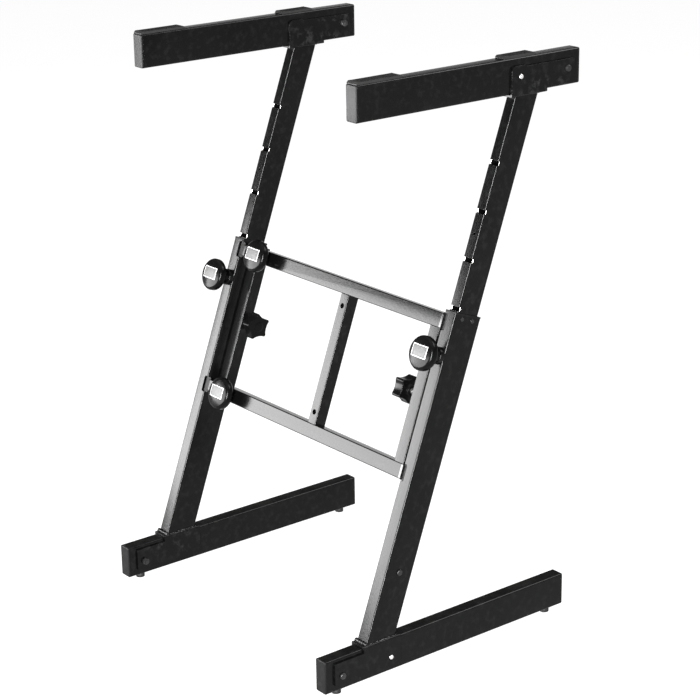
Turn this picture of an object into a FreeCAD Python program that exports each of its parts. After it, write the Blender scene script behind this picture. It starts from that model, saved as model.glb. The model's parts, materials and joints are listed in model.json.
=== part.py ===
import FreeCAD, Part
import math
import os

from FreeCAD import Placement, Rotation, Vector

# Folding keyboard stand: two Z-shaped legs joined by a cross frame that
# stretches in width. Millimetres, +Z up, +X to the right and +Y to the rear as
# seen from the front. The floor is z = 0, and the origin is the middle of the
# space that the stand fills.

# Stance
LEAN = 20.0                  # degrees, how far the uprights lean back
LEG_SPACING = 504.0          # middle of one leg to the middle of the other
FOOT_LENGTH = 456.0
ARM_LENGTH = 400.0
ARM_LEVEL = 809.0            # floor to the underside of the raised arms

# Rectangular tube of the feet, arms and outer uprights
TUBE_WIDTH = 22.0
TUBE_HEIGHT = 50.0           # height of the feet and arms
UPRIGHT_DEPTH = 50.0
TUBE_CORNER = 2.5
TUBE_WALL = 1.5
UPRIGHT_TOP = 528.2          # heights along the uprights start at the foot's pivot

# Inner upright, called the mast, which slides in the outer one
MAST_WIDTH = 18.0
MAST_DEPTH = 40.0
MAST_CORNER = 2.0
MAST_WALL = 1.5
MAST_TAIL = 28.8             # below the notch that the height pin stands at
NOTCH_COUNT = 5
NOTCH_PITCH = 69.4
NOTCH_HEIGHT = 6.6
NOTCH_DEPTH = 3.0
NOTCH_CORNER = 0.8
TOP_HOLE_RISE = 176.2        # small hole above the first notch
TOP_HOLE_RADIUS = 2.0

# Collar at the top of the outer upright
COLLAR_FLANGE = 2.5
COLLAR_LIP = 0.4
COLLAR_SHIM_LENGTH = 30.0
COLLAR_SHIM_INSET = 11.0     # front shim starts this far in from the inner side, past the lug
COLLAR_FIT = 0.3
SHIM_FIT = 0.15
RIVET_DROP = 5.2             # below the top of the outer upright
RIVET_RADIUS = 1.5
RIVET_HEAD_RADIUS = 3.0
RIVET_HEAD_HEIGHT = 0.8
RIVET_DEPTHS = (15.0, 35.0)  # behind the upright's front face

# Stop screw that carries a mast pushed right down
STOP_HEIGHT = 154.2
STOP_RADIUS = 2.5
STOP_REACH = 11.0
STOP_HEAD_RADIUS = 4.5
STOP_HEAD_HEIGHT = 2.4

# Folding pivots of the feet and arms
FOOT_PIVOT_INSET = 28.3      # from the front end of the foot
FOOT_PIVOT_RISE = 22.4       # above the foot's underside
ARM_PIVOT_INSET = 25.5       # from the rear end of the arm
ARM_PIVOT_RISE = 24.3        # above the arm's underside
FOOT_FOLD_GAP = 1.9          # folded foot to the front of the upright
ARM_FOLD_GAP = 3.6           # folded arm to the rear of the upright

# Channel brackets that hold the pivots
PLATE = 3.0
PLATE_BEND = 2.1             # outside radius where a plate meets the web
SIDE_GAP = 0.3               # between moving flat faces
PLATE_NOSE = 13.3            # beyond the pivot
PLATE_LENGTH = 119.0
PLATE_DROP = 13.4            # free edge, on the side away from the web
PLATE_STEP = 2.0             # the free edge stands this much lower at the button
PLATE_STEP_START = 78.7      # from the pivot
PLATE_SHOULDER = 21.6        # nose height on the side of the web
WEB_START = 39.0             # from the pivot
NOSE_CORNER = 3.0
TAIL_CORNER = 8.0

# Pivot bolts and spring buttons
BOLT_RADIUS = 3.0
BOLT_FIT = 0.05
BOLT_HEAD_RADIUS = 4.75
BOLT_HEAD_HEIGHT = 2.8
NUT_FLATS = 10.0
NUT_HEIGHT = 4.5
BOLT_TAIL = 1.0              # bolt end proud of the nut
HEAD_RIM = 0.6               # share of a round head's height that its rim takes
BUTTON_REACH = 88.3          # pivot to button
BUTTON_RADIUS = 3.5
BUTTON_FIT = 0.08
BUTTON_RING = 4.8            # radius of the recess round the button
BUTTON_RING_DEPTH = 1.2
BUTTON_PROUD = 1.0
BUTTON_HOLE = 3.9            # hole in the tube that the pressed button enters

# Ends, floor pads and rests
PLUG_CAP = 3.0
PLUG_DEPTH = 14.0
PLUG_WALL = 2.0
PLUG_FIT = 0.1
PLUG_EDGE = 1.6
PAD_HEIGHT = 8.0
PAD_RADIUS = 7.0
PAD_NECK = 5.5
PAD_EDGE = 1.0
PAD_SPACING = 402.0
REST_WIDTH = 20.0
REST_THICKNESS = 4.0
REST_BEVEL = 2.5
FRONT_REST_INSET = 1.0       # from the front end of the arm
FRONT_REST_LENGTH = 78.0
REAR_REST_INSET = 83.0       # from the rear end of the arm
REAR_REST_LENGTH = 58.0

# Cross frame
BAR_HEIGHT = 22.0
BAR_DEPTH = 20.0
BAR_CORNER = 1.5
BAR_WALL = 2.0
UPPER_BAR = 513.7            # height of its middle along the uprights
LOWER_BAR = 293.9
END_GAP = 1.0                # bar plug to the upright
END_CAP = 4.0
END_INSERT = 12.0
BAR_SHORT = 48.0             # outer bars stop this far before the slide bars' end
BAR_OVERLAP = 150.0          # slide bar inside the outer bar
SLIDE_FIT = 0.3
SLIDE_WALL = 1.5
SLIDE_CORNER = 1.0
POST_WIDTH = 20.5
POST_DEPTH = 20.0
POST_WALL = 1.5
POST_GAP = 1.5               # post to the upright's inner side
POST_SETBACK = 20.7          # the left post stands this far behind the front plane
CENTRE_POST_X = 27.5
CENTRE_POST_WIDTH = 18.0
CENTRE_HOLE_RADIUS = 4.0
CENTRE_HOLE_INSET = 17.5     # from the bars

# Locating lugs in the uprights' corner slots
LUG_REACH = 7.0
LUG_HEIGHT = 24.0
LUG_CORNER = 2.0
LUG_FRONT = 2.8
LUG_REAR = 4.2
SLOT_WIDTH = 7.5
SLOT_HEIGHT = 25.0
SLOT_DEPTH = 4.6
SLOT_CORNER = 3.0

# Hinges that let the legs fold in behind the cross frame
HINGE_OFFSET = 4.0           # axis from the upright's side and from the post's rear
BARREL_RADIUS = 3.6
HINGE_PIN_RADIUS = 2.0
HINGE_PIN_FIT = 0.05
KNUCKLE_LENGTH = 15.0
KNUCKLE_GAP = 0.3
HINGE_INSET = 40.0           # hinge middle from the bars
LEAF_WIDTH = 4.0
LEAF_RISE = 3.0

# Round knobs
KNOB_RADIUS = 25.0
KNOB_SIDE = 14.0             # the cone starts this far behind the face
KNOB_TAPER = 22.0            # and ends at the hub this far behind it
KNOB_DOME = 1.0
KNOB_RIM = 3.5
KNOB_BACK_ROUND = 5.0
KNOB_HUB_ROUND = 2.0
KNOB_HUB = 11.5
KNOB_CORE = 6.0              # plastic left in front of the metal stem
PIN_RADIUS = 3.0
PIN_FIT = 0.08
PIN_DROP = 62.2              # below the top of the outer upright
PIN_SHORT = 0.3              # resting pin to the mast
PULL_FACE = 39.2             # knob face in front of the upright
BOSS_RADIUS = 12.5
BOSS_LENGTH = 8.0
BOSS_EDGE = 1.5
CLAMP_RADIUS = 4.0
CLAMP_FIT = 0.05
CLAMP_SHORT = 0.3            # clamp screw to the slide bar
CLAMP_FACE = 27.5            # knob face in front of the bar
CLAMP_INSET = 12.0           # from the left end of the outer bars
CLAMP_BOSS_RADIUS = 8.0
CLAMP_BOSS_LENGTH = 4.0

# Star knobs
STAR_HEIGHT = 404.5
STAR_LOBES = 5
RIGHT_STAR_TURN = 72.0       # degrees, where a lobe points as the stand rests
LEFT_STAR_TURN = 108.0
STAR_POINT = 23.5            # corner of a lobe before it is rounded
STAR_POINT_ROUND = 3.0
STAR_VALLEY = 13.4           # corner between two lobes before it is rounded
STAR_VALLEY_ROUND = 24.0
STAR_EDGE = 1.5
STAR_THICKNESS = 17.0
STAR_MIDDLE = 24.0           # middle of the knob from the post
STAR_HUB_RADIUS = 8.0
STAR_HUB = 5.0
STUD_RADIUS = 4.0
STUD_FIT = 0.05
STUD_SHORT = 0.3             # stud end to the upright

# Worked-out places
PAST = 1.0                   # how far a cutter runs past a face
REACH = 2000.0               # larger than the stand

leg_x = LEG_SPACING / 2
inner_side = leg_x - TUBE_WIDTH / 2
outer_side = leg_x + TUBE_WIDTH / 2
foot_front = -FOOT_LENGTH / 2
foot_rear = FOOT_LENGTH / 2
arm_top = ARM_LEVEL + TUBE_HEIGHT
foot_pivot_y = foot_front + FOOT_PIVOT_INSET
foot_pivot_z = PAD_HEIGHT + FOOT_PIVOT_RISE
arm_pivot_z = ARM_LEVEL + ARM_PIVOT_RISE

sine = math.sin(math.radians(LEAN))
cosine = math.cos(math.radians(LEAN))
pin_height = UPRIGHT_TOP - PIN_DROP
pivot_ahead = foot_pivot_z + FOOT_FOLD_GAP
pivot_behind = UPRIGHT_DEPTH + TUBE_HEIGHT - ARM_PIVOT_RISE + REST_THICKNESS + ARM_FOLD_GAP
frame_y = foot_pivot_y + pivot_ahead * cosine
frame_z = foot_pivot_z - pivot_ahead * sine
arm_pivot_height = (arm_pivot_z - frame_z + pivot_behind * sine) / cosine
arm_pivot_y = frame_y + arm_pivot_height * sine + pivot_behind * cosine
arm_rear = arm_pivot_y + ARM_PIVOT_INSET
arm_front = arm_rear - ARM_LENGTH
origin_y = (foot_front + arm_rear) / 2

foot_web = TUBE_HEIGHT - FOOT_PIVOT_RISE + SIDE_GAP
arm_web = ARM_PIVOT_RISE + SIDE_GAP
plate_inside = TUBE_WIDTH / 2 + SIDE_GAP
plate_outside = plate_inside + PLATE
mast_front = (UPRIGHT_DEPTH - MAST_DEPTH) / 2
mast_rear = mast_front + MAST_DEPTH

plug_face = inner_side - END_GAP
bar_end = plug_face - END_CAP
post_outer = inner_side - POST_GAP
post_inner = post_outer - POST_WIDTH
bar_left = -bar_end + BAR_SHORT
clamp_x = bar_left + CLAMP_INSET
hinge_x = inner_side - HINGE_OFFSET

LEANING = Placement(Vector(0, frame_y, frame_z), Rotation(Vector(1, 0, 0), -LEAN))
AT_ORIGIN = Placement(Vector(0, -origin_y, 0), Rotation())

# The directions in which a bar is drawn: distance along it, then its section.
ALONG = {
    "x": lambda along, a, b: Vector(along, a, b),
    "y": lambda along, a, b: Vector(a, along, b),
    "z": lambda along, a, b: Vector(a, b, along),
}


def leaned(shape):
    """Set a piece drawn square to the uprights at their lean.

    It is drawn with x across the stand, y behind the uprights' front plane and
    z along the uprights from the foot's pivot.
    """
    return shape.transformed(LEANING.toMatrix(), copy=True)


def mirrored(shape):
    """The left-hand twin of a right-hand piece."""
    return shape.mirror(Vector(0, 0, 0), Vector(1, 0, 0))


def outline(corners, place):
    """Closed face through (a, b, radius) corners, set in space by place(a, b)."""
    joins = []
    for index, (a, b, radius) in enumerate(corners):
        here = Vector(a, b, 0)
        before = Vector(*corners[index - 1][:2], 0) - here
        after = Vector(*corners[(index + 1) % len(corners)][:2], 0) - here
        half_turn = before.getAngle(after) / 2
        before.normalize()
        after.normalize()
        tangent = radius / math.tan(half_turn)
        centre = here + (before + after).normalize() * (radius / math.sin(half_turn))
        crown = here + (centre - here) * (1 - radius / max((centre - here).Length, radius, 1e-9))
        joins.append((here + before * tangent, crown, here + after * tangent, radius))
    edges = []
    for index, (start, crown, end, radius) in enumerate(joins):
        following = joins[(index + 1) % len(joins)][0]
        if radius > 0:
            arc = [place(point.x, point.y) for point in (start, crown, end)]
            edges.append(Part.Arc(*arc).toShape())
        if (following - end).Length > 1e-6:
            edges.append(Part.LineSegment(place(end.x, end.y), place(following.x, following.y)).toShape())
    return Part.Face(Part.Wire(edges))


def bar(axis, start, end, a_range, b_range, corner=0.0):
    """Solid bar along an axis, with a rounded rectangular section."""
    place = ALONG[axis]
    low_a, high_a = a_range
    low_b, high_b = b_range
    section = [(low_a, low_b), (high_a, low_b), (high_a, high_b), (low_a, high_b)]
    face = outline([(a, b, corner) for a, b in section], lambda a, b: place(start, a, b))
    return face.extrude(place(end - start, 0, 0))


def tube(axis, start, end, a_range, b_range, corner, wall):
    """Rectangular tube along an axis, open at both ends."""
    inside_a = (a_range[0] + wall, a_range[1] - wall)
    inside_b = (b_range[0] + wall, b_range[1] - wall)
    inside_corner = max(corner - wall, 0.3)
    bore = bar(axis, start - PAST, end + PAST, inside_a, inside_b, inside_corner)
    return bar(axis, start, end, a_range, b_range, corner).cut(bore)


def span(middle, size):
    """Low and high limit of a size centred on a place."""
    return (middle - size / 2, middle + size / 2)


def rod(radius, start, end):
    """Round rod from one point to another."""
    direction = end - start
    return Part.makeCylinder(radius, direction.Length, start, direction)


def turned(corners, base, direction):
    """Solid of revolution from (radius, height, rounding) corners about direction."""
    profile = outline(corners, lambda a, b: Vector(a, 0, b))
    solid = profile.revolve(Vector(0, 0, 0), Vector(0, 0, 1), 360)
    turn = Placement(base, Rotation(Vector(0, 0, 1), direction))
    return solid.transformed(turn.toMatrix(), copy=True)


def domed(radius, height, base, direction):
    """Low round head with a softened rim."""
    rim = min(radius, height) * HEAD_RIM
    corners = [(0, 0, 0), (radius, 0, 0), (radius, height, rim), (0, height, 0)]
    return turned(corners, base, direction)


def cut_level(shape, level, keep_above):
    """Cut a leaning piece off level."""
    low = -REACH if keep_above else level
    slab = Part.makeBox(2 * REACH, 2 * REACH, REACH + level if keep_above else REACH,
                        Vector(-REACH, -REACH, low))
    return shape.cut(slab)


# Legs

def outer_upright():
    """Tube welded on the foot bracket, with a slot for each lug of the cross frame."""
    across = (inner_side, outer_side)
    body = tube("z", 0, UPRIGHT_TOP, across, (0, UPRIGHT_DEPTH), TUBE_CORNER, TUBE_WALL)
    cutters = []
    for height in (UPPER_BAR, LOWER_BAR):
        slot_across = (inner_side - SLOT_WIDTH, inner_side + SLOT_WIDTH)
        cutters.append(bar("y", -PAST, SLOT_DEPTH, slot_across, span(height, SLOT_HEIGHT), SLOT_CORNER))
    pin_hole = Vector(leg_x, -PAST, pin_height)
    cutters.append(rod(PIN_RADIUS + PIN_FIT, pin_hole, pin_hole + Vector(0, TUBE_WALL + 2 * PAST, 0)))
    for depth in RIVET_DEPTHS:
        wall = Vector(outer_side - TUBE_WALL - PAST, depth, UPRIGHT_TOP - RIVET_DROP)
        cutters.append(rod(RIVET_RADIUS, wall, wall + Vector(TUBE_WALL + 2 * PAST, 0, 0)))
    wall = Vector(outer_side - TUBE_WALL - PAST, UPRIGHT_DEPTH / 2, STOP_HEIGHT)
    cutters.append(rod(STOP_RADIUS, wall, wall + Vector(TUBE_WALL + 2 * PAST, 0, 0)))
    body = leaned(body.cut(cutters))
    return cut_level(body, foot_pivot_z + foot_web + PLATE, True)


def upright_collar():
    """Plastic collar that guides the mast, with a shim in front of it and one behind."""
    lip = TUBE_WIDTH / 2 + COLLAR_LIP
    flange = bar("z", UPRIGHT_TOP, UPRIGHT_TOP + COLLAR_FLANGE, (leg_x - lip, leg_x + lip),
                 (-COLLAR_LIP, UPRIGHT_DEPTH + COLLAR_LIP), TUBE_CORNER + COLLAR_LIP)
    window = bar("z", UPRIGHT_TOP - PAST, UPRIGHT_TOP + COLLAR_FLANGE + PAST,
                 span(leg_x, MAST_WIDTH + 2 * COLLAR_FIT),
                 span(UPRIGHT_DEPTH / 2, MAST_DEPTH + 2 * COLLAR_FIT), MAST_CORNER)
    shim_low = UPRIGHT_TOP - COLLAR_SHIM_LENGTH
    shim_inner = inner_side + TUBE_WALL + SHIM_FIT
    shim_outer = outer_side - TUBE_WALL - SHIM_FIT
    front = bar("z", shim_low, UPRIGHT_TOP, (inner_side + COLLAR_SHIM_INSET, shim_outer),
                (TUBE_WALL + SHIM_FIT, mast_front - COLLAR_FIT))
    rear = bar("z", shim_low, UPRIGHT_TOP, (shim_inner, shim_outer),
               (mast_rear + COLLAR_FIT, UPRIGHT_DEPTH - TUBE_WALL - SHIM_FIT))
    front = front.common(bar("z", shim_low, UPRIGHT_TOP, (shim_inner, shim_outer),
                             (TUBE_WALL + SHIM_FIT, UPRIGHT_DEPTH), TUBE_CORNER - TUBE_WALL))
    rear = rear.common(bar("z", shim_low, UPRIGHT_TOP, (shim_inner, shim_outer),
                           (0, UPRIGHT_DEPTH - TUBE_WALL - SHIM_FIT), TUBE_CORNER - TUBE_WALL))
    return leaned(flange.cut(window).fuse([front, rear]).removeSplitter())


def leg_fixings():
    """Two rivets that hold the collar, and the stop screw."""
    solids = []
    for depth in RIVET_DEPTHS:
        face = Vector(outer_side, depth, UPRIGHT_TOP - RIVET_DROP)
        head = domed(RIVET_HEAD_RADIUS, RIVET_HEAD_HEIGHT, face, Vector(1, 0, 0))
        solids.append(head.fuse(rod(RIVET_RADIUS, face - Vector(TUBE_WALL, 0, 0), face)))
    face = Vector(outer_side, UPRIGHT_DEPTH / 2, STOP_HEIGHT)
    head = domed(STOP_HEAD_RADIUS, STOP_HEAD_HEIGHT, face, Vector(1, 0, 0))
    solids.append(head.fuse(rod(STOP_RADIUS, face - Vector(STOP_REACH, 0, 0), face)))
    return leaned(Part.makeCompound(solids))


def channel_bracket(web, pivot, sign):
    """Channel that straddles a foot (sign +1) or, turned over, an arm (sign -1)."""
    def place(s, h):
        return Vector(leg_x - plate_outside, pivot.y + sign * s, pivot.z + sign * h)

    tail = PLATE_LENGTH - PLATE_NOSE
    corners = [
        (-PLATE_NOSE, -PLATE_DROP, NOSE_CORNER),
        (PLATE_STEP_START, -PLATE_DROP, 0),
        (PLATE_STEP_START + PLATE_STEP, -PLATE_DROP - PLATE_STEP, 0),
        (tail, -PLATE_DROP - PLATE_STEP, TAIL_CORNER),
        (tail, web + PLATE, 0),
        (WEB_START, web + PLATE, 0),
        (WEB_START, PLATE_SHOULDER, 0),
        (-PLATE_NOSE, PLATE_SHOULDER, NOSE_CORNER),
    ]
    body = outline(corners, place).extrude(Vector(2 * plate_outside, 0, 0))
    low_y, high_y = sorted((pivot.y - sign * (PLATE_NOSE + PAST), pivot.y + sign * (tail + PAST)))
    low_z, high_z = sorted((pivot.z - sign * REACH, pivot.z + sign * web))
    channel = Part.makeBox(2 * plate_inside, high_y - low_y, high_z - low_z,
                           Vector(leg_x - plate_inside, low_y, low_z))
    body = body.cut(channel)
    edges = [edge for edge in body.Edges if is_bend(edge, pivot.z + sign * (web + PLATE))]
    body = body.makeFillet(PLATE_BEND, edges)
    through = Vector(2 * plate_outside + 2 * PAST, 0, 0)
    start = Vector(leg_x - plate_outside - PAST, pivot.y, pivot.z)
    button = Vector(leg_x, pivot.y + sign * BUTTON_REACH, pivot.z)
    outside = Vector(leg_x + plate_outside, button.y, button.z)
    return body.cut([
        rod(BOLT_RADIUS + BOLT_FIT, start, start + through),
        rod(BUTTON_RADIUS + BUTTON_FIT, button, outside + Vector(PAST, 0, 0)),
        rod(BUTTON_RING, outside - Vector(BUTTON_RING_DEPTH, 0, 0), outside + Vector(PAST, 0, 0)),
    ])


def is_bend(edge, level):
    """True for the two long outer edges where the channel's plates meet its web."""
    box = edge.BoundBox
    return abs(box.ZMin - level) < 1e-6 and abs(box.ZMax - level) < 1e-6 and box.YLength > box.XLength


def hexagon(flats, length, base, direction):
    """Hexagonal prism."""
    corner = flats / math.sqrt(3)
    points = [Vector(corner * math.cos(math.radians(60 * turn)),
                     corner * math.sin(math.radians(60 * turn)), 0) for turn in range(7)]
    prism = Part.Face(Part.makePolygon(points)).extrude(Vector(0, 0, length))
    turn = Placement(base, Rotation(Vector(0, 0, 1), direction))
    return prism.transformed(turn.toMatrix(), copy=True)


def pivot_bolt(pivot):
    """Bolt through a bracket and its tube, with a nut on the inner side."""
    outside = Vector(leg_x + plate_outside, pivot.y, pivot.z)
    inside = Vector(leg_x - plate_outside, pivot.y, pivot.z)
    nut_end = inside - Vector(NUT_HEIGHT, 0, 0)
    tail = nut_end - Vector(BOLT_TAIL, 0, 0)
    bolt = domed(BOLT_HEAD_RADIUS, BOLT_HEAD_HEIGHT, outside, Vector(1, 0, 0))
    bolt = bolt.fuse(rod(BOLT_RADIUS, tail, outside)).removeSplitter()
    nut = hexagon(NUT_FLATS, NUT_HEIGHT, inside, Vector(-1, 0, 0))
    nut = nut.cut(rod(BOLT_RADIUS + BOLT_FIT, tail, inside + Vector(PAST, 0, 0)))
    return Part.makeCompound([bolt, nut])


def spring_button(pivot, sign):
    """Button that stands in the outer plate of a bracket and is pressed inwards."""
    start = Vector(leg_x + plate_inside, pivot.y + sign * BUTTON_REACH, pivot.z)
    stem_end = start + Vector(PLATE - BUTTON_PROUD, 0, 0)
    dome = domed(BUTTON_RADIUS, 2 * BUTTON_PROUD, stem_end, Vector(1, 0, 0))
    return dome.fuse(rod(BUTTON_RADIUS, start, stem_end)).removeSplitter()


# Feet and arms

def level_tube(front, rear, underside, pivot, sign):
    """Foot or arm tube between its end plugs, with the pivot's and the button's holes."""
    body = tube("y", front + PLUG_CAP, rear - PLUG_CAP, (inner_side, outer_side),
                (underside, underside + TUBE_HEIGHT), TUBE_CORNER, TUBE_WALL)
    pin_start = Vector(inner_side - PAST, pivot.y, pivot.z)
    button = Vector(leg_x, pivot.y + sign * BUTTON_REACH, pivot.z)
    return body.cut([
        rod(BOLT_RADIUS + BOLT_FIT, pin_start, pin_start + Vector(TUBE_WIDTH + 2 * PAST, 0, 0)),
        rod(BUTTON_HOLE, button, button + Vector(TUBE_WIDTH / 2 + PAST, 0, 0)),
    ])


def end_plugs(front, rear, underside):
    """Plastic plugs that close both ends of a foot or arm."""
    plugs = []
    inset = TUBE_WALL + PLUG_FIT
    insert_across = (inner_side + inset, outer_side - inset)
    insert_up = (underside + inset, underside + TUBE_HEIGHT - inset)
    for end, inward in ((front, 1), (rear, -1)):
        tube_end = end + inward * PLUG_CAP
        depth = tube_end + inward * PLUG_DEPTH
        cap = bar("y", min(end, tube_end), max(end, tube_end), (inner_side, outer_side),
                  (underside, underside + TUBE_HEIGHT), TUBE_CORNER)
        face_edges = [edge for edge in cap.Edges
                      if abs(edge.BoundBox.YMin - end) < 1e-6 and abs(edge.BoundBox.YMax - end) < 1e-6]
        cap = cap.makeFillet(PLUG_EDGE, face_edges)
        insert = bar("y", min(tube_end, depth), max(tube_end, depth), insert_across, insert_up,
                     TUBE_CORNER - TUBE_WALL)
        hollow_across = (insert_across[0] + PLUG_WALL, insert_across[1] - PLUG_WALL)
        hollow_up = (insert_up[0] + PLUG_WALL, insert_up[1] - PLUG_WALL)
        hollow = bar("y", min(tube_end, depth + inward * PAST), max(tube_end, depth + inward * PAST),
                     hollow_across, hollow_up)
        plugs.append(cap.fuse(insert.cut(hollow)).removeSplitter())
    return Part.makeCompound(plugs)


def floor_pads():
    """Rubber pads under the foot, a little wider at the floor."""
    corners = [(0, 0, 0), (PAD_RADIUS, 0, PAD_EDGE), (PAD_RADIUS, PAD_HEIGHT / 2, PAD_EDGE),
               (PAD_NECK, PAD_HEIGHT, 0), (0, PAD_HEIGHT, 0)]
    places = [Vector(leg_x, y, 0) for y in span(0, PAD_SPACING)]
    return Part.makeCompound([turned(corners, place, Vector(0, 0, 1)) for place in places])


def rest_pads():
    """Rubber strips that the keyboard lies on, bevelled at their ends."""
    strips = []
    rear_end = arm_rear - REAR_REST_INSET
    front_start = arm_front + FRONT_REST_INSET
    rear_start = rear_end - REAR_REST_LENGTH
    for start, length in ((front_start, FRONT_REST_LENGTH), (rear_start, REAR_REST_LENGTH)):
        end = start + length
        corners = [(start, arm_top, 0), (end, arm_top, 0), (end, arm_top + REST_THICKNESS - REST_BEVEL, 0),
                   (end - REST_BEVEL, arm_top + REST_THICKNESS, 0),
                   (start + REST_BEVEL, arm_top + REST_THICKNESS, 0),
                   (start, arm_top + REST_THICKNESS - REST_BEVEL, 0)]
        side = outline(corners, lambda a, b: Vector(leg_x - REST_WIDTH / 2, a, b))
        strips.append(side.extrude(Vector(REST_WIDTH, 0, 0)))
    return Part.makeCompound(strips)


# Masts

def mast():
    """Inner upright, notched across its front for the height pin."""
    body = tube("z", pin_height - MAST_TAIL, REACH / 2, span(leg_x, MAST_WIDTH), (mast_front, mast_rear),
                MAST_CORNER, MAST_WALL)
    cutters = []
    for step in range(NOTCH_COUNT):
        height = pin_height + step * NOTCH_PITCH
        notch_depths = (mast_front - PAST, mast_front + NOTCH_DEPTH)
        cutters.append(bar("x", leg_x - MAST_WIDTH, leg_x + MAST_WIDTH, notch_depths,
                           span(height, NOTCH_HEIGHT), NOTCH_CORNER))
    hole = Vector(leg_x, mast_front - PAST, pin_height + TOP_HOLE_RISE)
    cutters.append(rod(TOP_HOLE_RADIUS, hole, hole + Vector(0, MAST_WALL + 2 * PAST, 0)))
    body = leaned(body.cut(cutters))
    return cut_level(body, arm_pivot_z - arm_web - PLATE, False)


# Knobs

def round_knob(face, hub_start, stem_radius, base, direction):
    """Domed round knob on a hub, with a blind hole for its metal stem."""
    stem_end = face - KNOB_CORE
    corners = [(stem_radius, hub_start, 0), (KNOB_HUB, hub_start, 0),
               (KNOB_HUB, face - KNOB_TAPER, KNOB_HUB_ROUND),
               (KNOB_RADIUS, face - KNOB_SIDE, KNOB_BACK_ROUND),
               (KNOB_RADIUS, face - KNOB_DOME, KNOB_RIM), (0, face, 0), (0, stem_end, 0),
               (stem_radius, stem_end, 0)]
    return turned(corners, base, direction)


def height_knob():
    """Pull knob in front of the upright."""
    base = Vector(leg_x, 0, pin_height)
    return leaned(round_knob(PULL_FACE, BOSS_LENGTH + SIDE_GAP, PIN_RADIUS, base, Vector(0, -1, 0)))


def height_pin():
    """Steel pin of the pull knob. It rests just short of the mast."""
    tip = Vector(leg_x, mast_front - PIN_SHORT, pin_height)
    return leaned(rod(PIN_RADIUS, tip, Vector(leg_x, KNOB_CORE - PULL_FACE, pin_height)))


def pin_boss():
    """Boss welded on the upright, in which the height pin slides."""
    corners = [(PIN_RADIUS + PIN_FIT, 0, 0), (BOSS_RADIUS, 0, 0), (BOSS_RADIUS, BOSS_LENGTH, BOSS_EDGE),
               (PIN_RADIUS + PIN_FIT, BOSS_LENGTH, 0)]
    return leaned(turned(corners, Vector(leg_x, 0, pin_height), Vector(0, -1, 0)))


def clamp_knob(height):
    """Knob that clamps a slide bar in its outer bar."""
    base = Vector(clamp_x, 0, height)
    hub_start = CLAMP_BOSS_LENGTH + SIDE_GAP
    return leaned(round_knob(CLAMP_FACE, hub_start, CLAMP_RADIUS, base, Vector(0, -1, 0)))


def clamp_screw(height):
    """Screw of a clamp knob. It rests just short of the slide bar."""
    tip = Vector(clamp_x, BAR_WALL + SLIDE_FIT - CLAMP_SHORT, height)
    return leaned(rod(CLAMP_RADIUS, tip, Vector(clamp_x, KNOB_CORE - CLAMP_FACE, height)))


def star_knob(depth, lobe_turn):
    """Lobed knob beside a post, turning about a line across the stand."""
    middle = post_inner - STAR_MIDDLE
    near = middle + STAR_THICKNESS / 2
    far = middle - STAR_THICKNESS / 2
    point_and_valley = ((0.0, STAR_POINT, STAR_POINT_ROUND), (0.5, STAR_VALLEY, STAR_VALLEY_ROUND))
    corners = []
    for lobe in range(STAR_LOBES):
        for turn, radius, rounding in point_and_valley:
            angle = math.radians(lobe_turn + 360 * (lobe + turn) / STAR_LOBES)
            y = depth + radius * math.cos(angle)
            z = STAR_HEIGHT + radius * math.sin(angle)
            corners.append((y, z, rounding))
    body = outline(corners, lambda a, b: Vector(far, a, b)).extrude(Vector(STAR_THICKNESS, 0, 0))
    rims = [edge for edge in body.Edges if edge.BoundBox.XLength < 1e-6]
    body = body.makeFillet(STAR_EDGE, rims)
    hub = rod(STAR_HUB_RADIUS, Vector(near - STAR_EDGE, depth, STAR_HEIGHT),
              Vector(near + STAR_HUB, depth, STAR_HEIGHT))
    body = body.fuse(hub).removeSplitter()
    stem = rod(STUD_RADIUS, Vector(middle, depth, STAR_HEIGHT), Vector(post_inner, depth, STAR_HEIGHT))
    return leaned(body.cut(stem))


def star_stud(depth):
    """Steel stud of a star knob, through the post to just short of the upright."""
    start = Vector(post_inner - STAR_MIDDLE, depth, STAR_HEIGHT)
    return leaned(rod(STUD_RADIUS, start, Vector(inner_side - STUD_SHORT, depth, STAR_HEIGHT)))


# Cross frame

def outer_bar(height):
    """Fixed bar, with the threaded boss of its clamp screw."""
    body = tube("x", bar_left, bar_end, (0, BAR_DEPTH), span(height, BAR_HEIGHT), BAR_CORNER, BAR_WALL)
    face = Vector(clamp_x, 0, height)
    boss = rod(CLAMP_BOSS_RADIUS, face, face - Vector(0, CLAMP_BOSS_LENGTH, 0))
    thread = rod(CLAMP_RADIUS + CLAMP_FIT, face - Vector(0, CLAMP_BOSS_LENGTH + PAST, 0),
                 face + Vector(0, BAR_WALL + PAST, 0))
    return leaned(body.fuse(boss).cut(thread))


def slide_bars():
    """Pair of bars that slide in the outer bars and carry the left leg (drawn on the right)."""
    inset = BAR_WALL + SLIDE_FIT
    bars = []
    for height in (UPPER_BAR, LOWER_BAR):
        bars.append(tube("x", -bar_left - BAR_OVERLAP, bar_end, (inset, BAR_DEPTH - inset),
                         span(height, BAR_HEIGHT - 2 * inset), SLIDE_CORNER, SLIDE_WALL))
    return mirrored(leaned(Part.makeCompound(bars)))


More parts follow.
